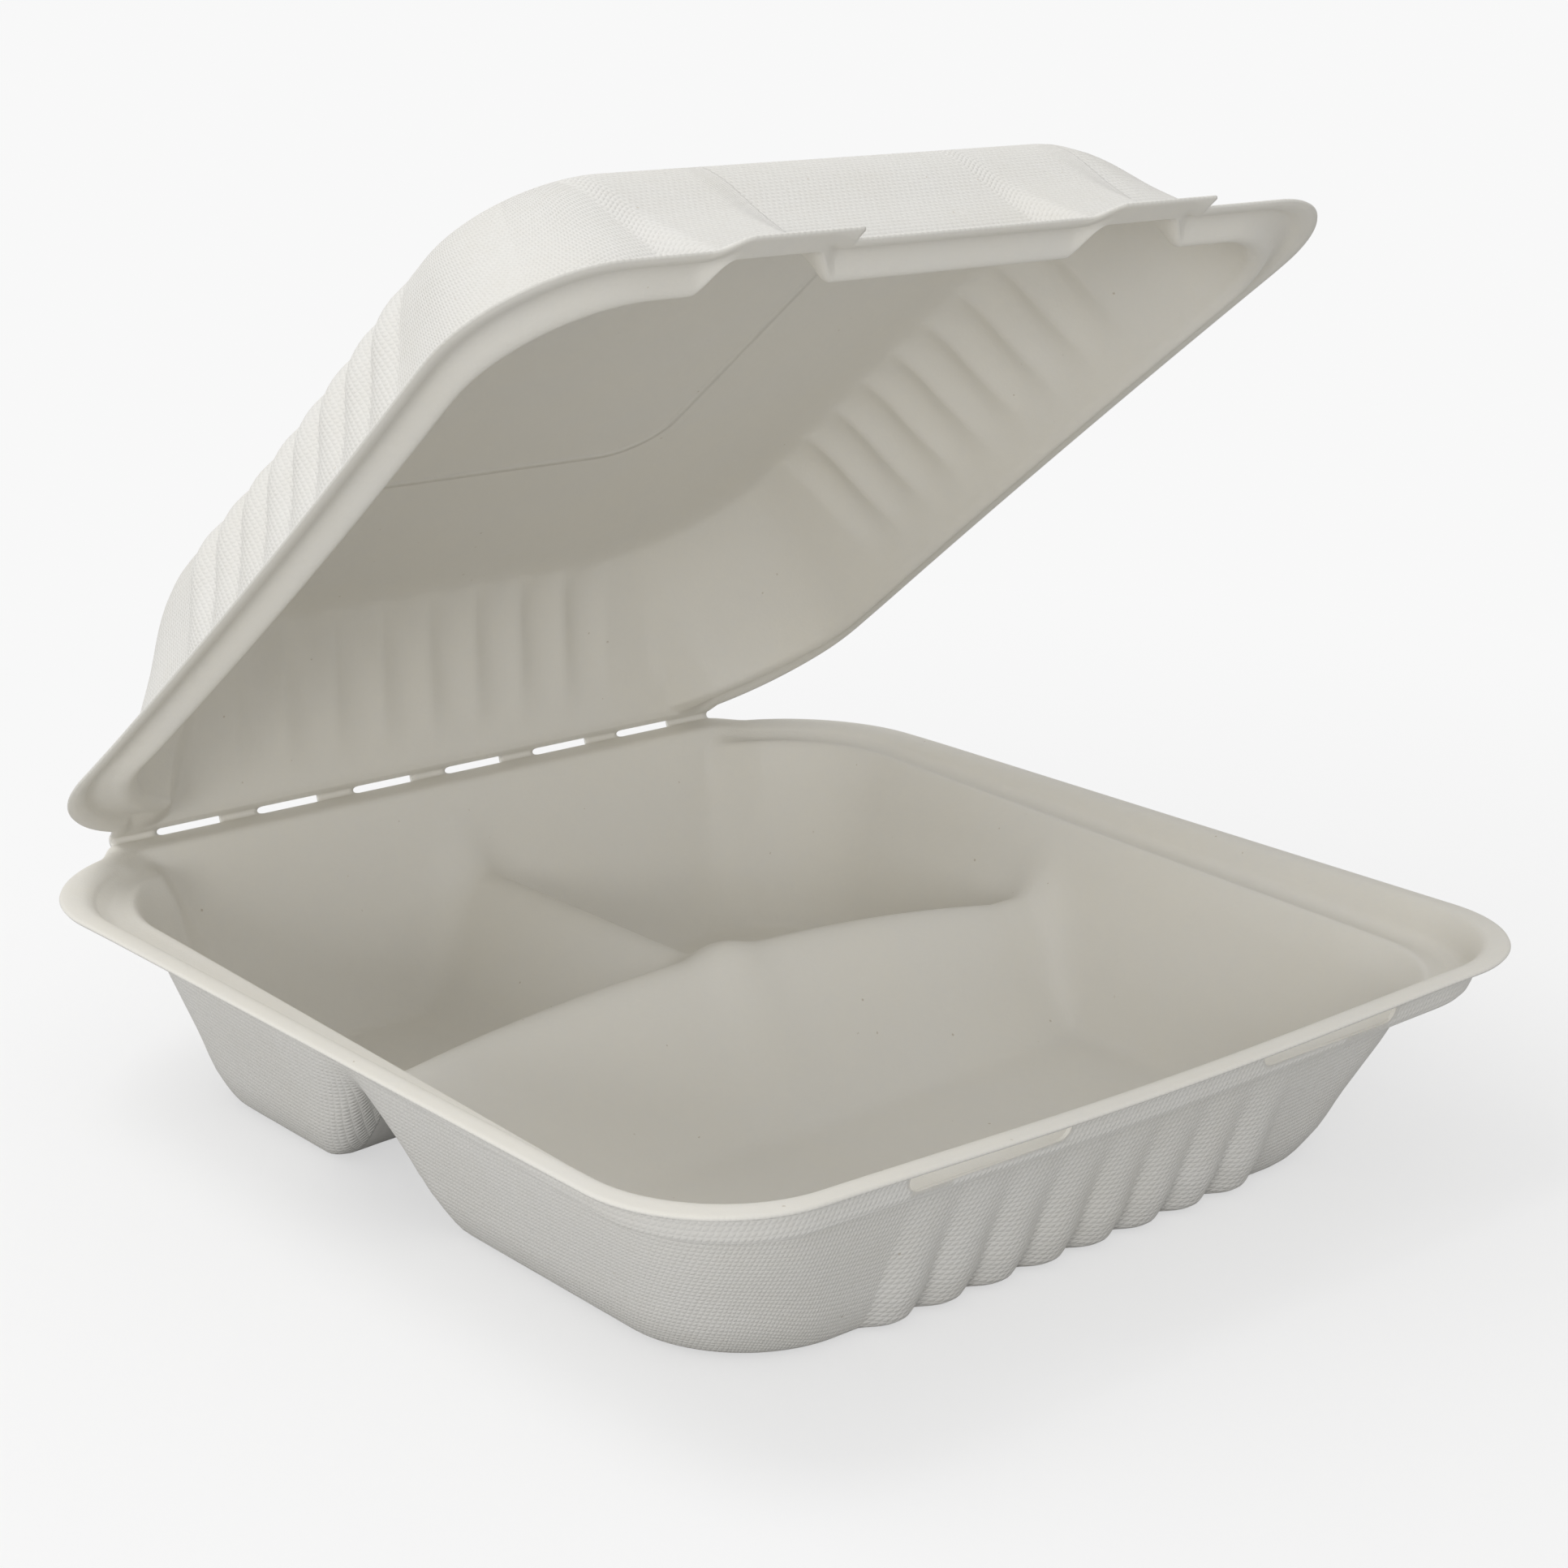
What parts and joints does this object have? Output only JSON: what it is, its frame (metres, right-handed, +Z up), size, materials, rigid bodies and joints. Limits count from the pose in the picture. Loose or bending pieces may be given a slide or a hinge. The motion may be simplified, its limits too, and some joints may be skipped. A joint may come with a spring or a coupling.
{
  "type": "three-compartment clamshell food container",
  "caption": "Square moulded-fibre clamshell tray with a T-shaped divider, a fluted domed lid on a perforated fold, and a tab-and-slot lock.",
  "frame": {"origin": "on the table, under the middle of the tray between its front edge and the fold", "axes": "+Z up, +X along the fold to the right as seen from the front, +Y from the front edge towards the fold"},
  "size_m": [0.228, 0.2415, 0.1996],
  "materials": {
    "tray_fibre": "matte moulded fibre",
    "lid_fibre": "matte moulded fibre"
  },
  "bodies": {
    "tray": {"tray": "tray_fibre"},
    "lid": {"lid": "lid_fibre"}
  },
  "joints": [
    {"name": "lid_hinge", "type": "hinge", "parent": "tray", "child": "lid", "pos_m": [0, 0.1198, 0.046], "axis": [-1, 0, 0], "range_deg": [-40.2, 141.6]}
  ]
}
